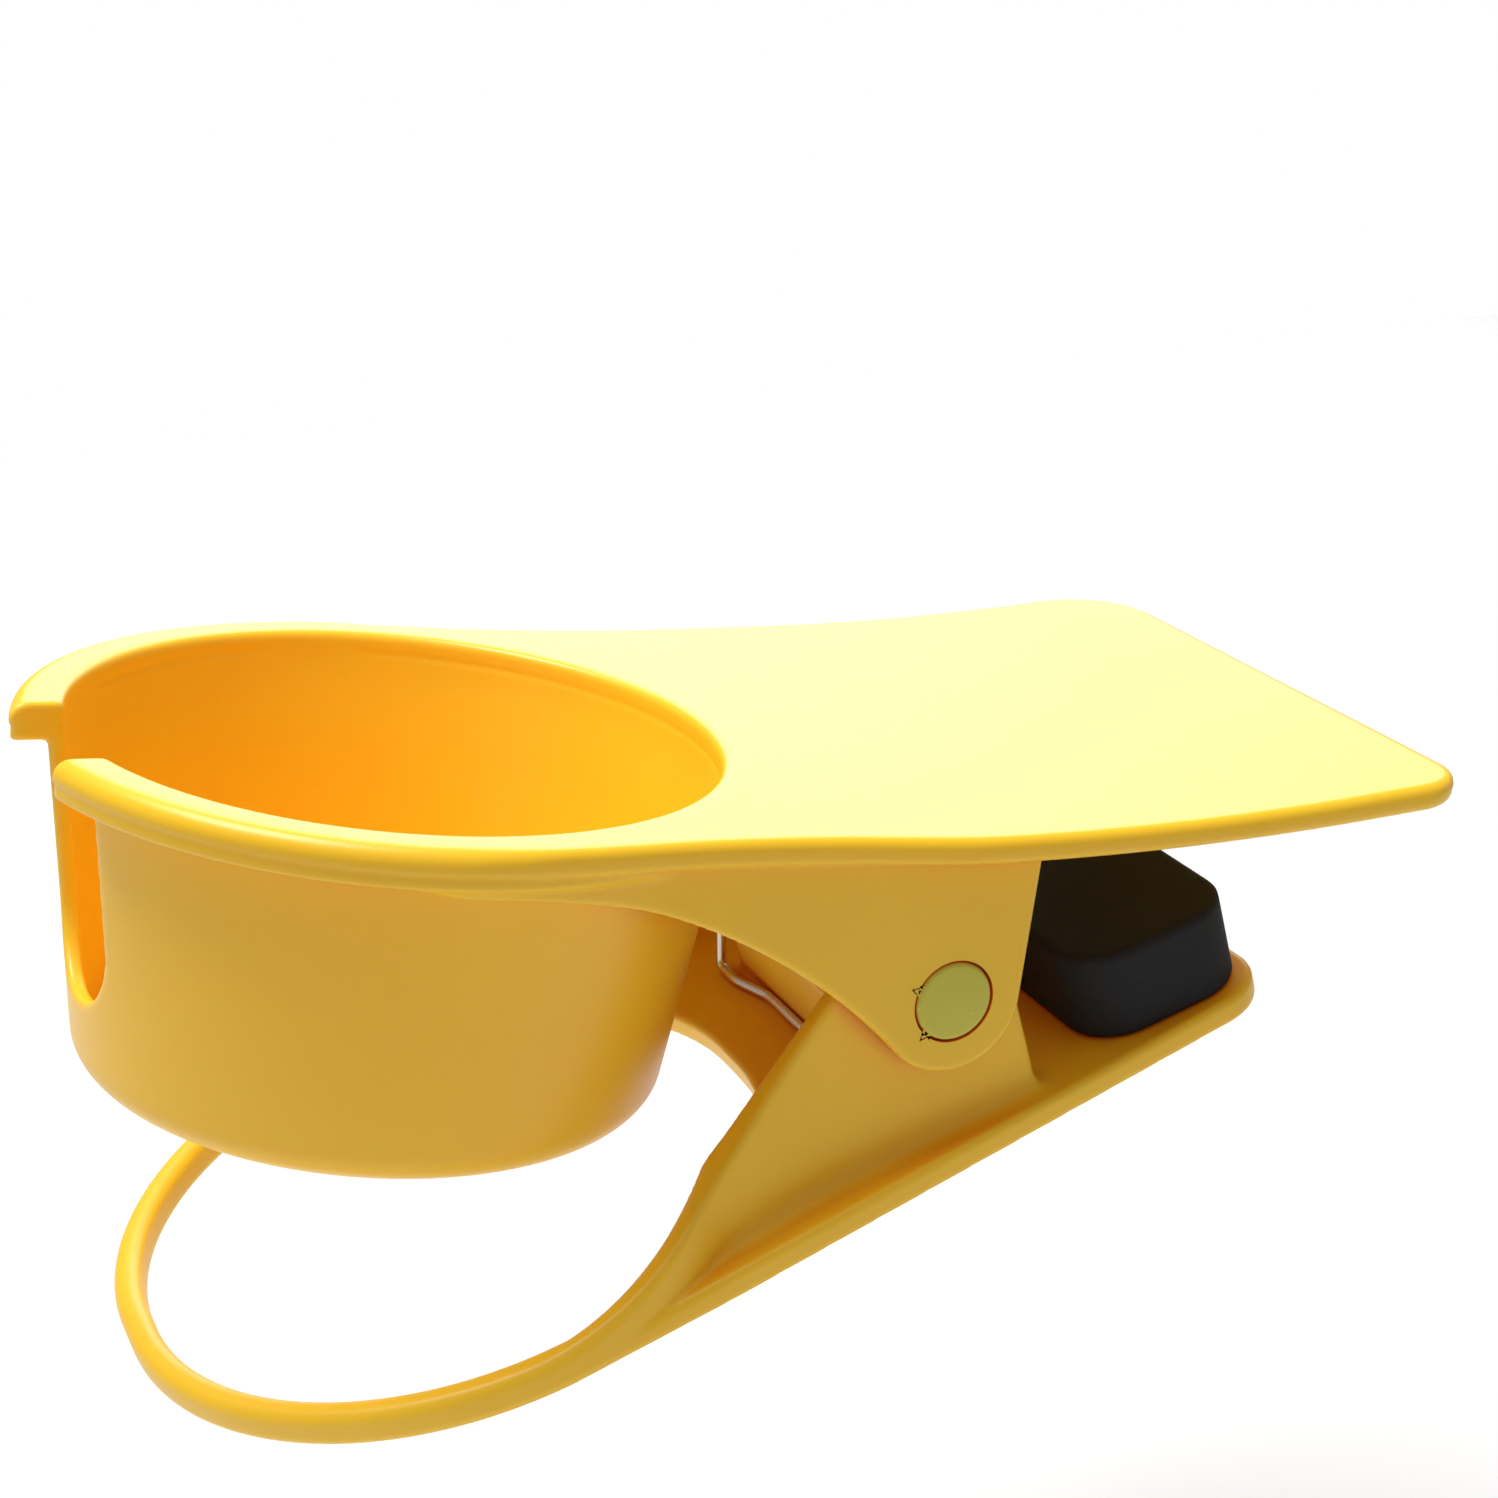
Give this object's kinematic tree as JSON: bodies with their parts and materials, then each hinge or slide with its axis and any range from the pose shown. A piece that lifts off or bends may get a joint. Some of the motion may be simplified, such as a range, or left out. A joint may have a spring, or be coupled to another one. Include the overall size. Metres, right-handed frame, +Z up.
{
  "type": "desk clamp cup holder",
  "caption": "Mug well with a handle slot on a wide plate that grips a desk edge like a sprung peg: a hinged lever with a ring handle, a steel spring and a rubber jaw pad.",
  "frame": {"origin": "where the desk's top front edge meets the holder: the desk top is the plane Z = 0 and the desk's front edge, stopped by the ears, is the line X = 0", "axes": "+X into the desk, towards the plate's free end; +Y sideways, away from the picture's camera; +Z up, square to the desk top. The mug well leans 8 degrees towards the desk"},
  "size_m": [0.1847, 0.0996, 0.0916],
  "materials": {
    "body_plastic": "satin moulded",
    "lever_plastic": "satin moulded",
    "cap_plastic": "satin moulded",
    "rod_steel": "ground",
    "spring_steel": "bright drawn wire",
    "pad_rubber": "matt"
  },
  "bodies": {
    "holder": {"holder_body": "body_plastic", "pivot_rod": "rod_steel", "pin_cap_near": "cap_plastic", "pin_cap_far": "cap_plastic", "torsion_spring": "spring_steel"},
    "lever": {"clamp_lever": "lever_plastic", "jaw_pad": "pad_rubber"}
  },
  "joints": [
    {"name": "clamp_hinge", "type": "hinge", "parent": "holder", "child": "lever", "pos_m": [-0.01246, 0, -0.01681], "axis": [0, 1, 0], "range_deg": [-15, 30], "stiffness_Nm_per_rad": 0.8, "springref_deg": -51.57, "deforming": ["torsion_spring"]}
  ]
}
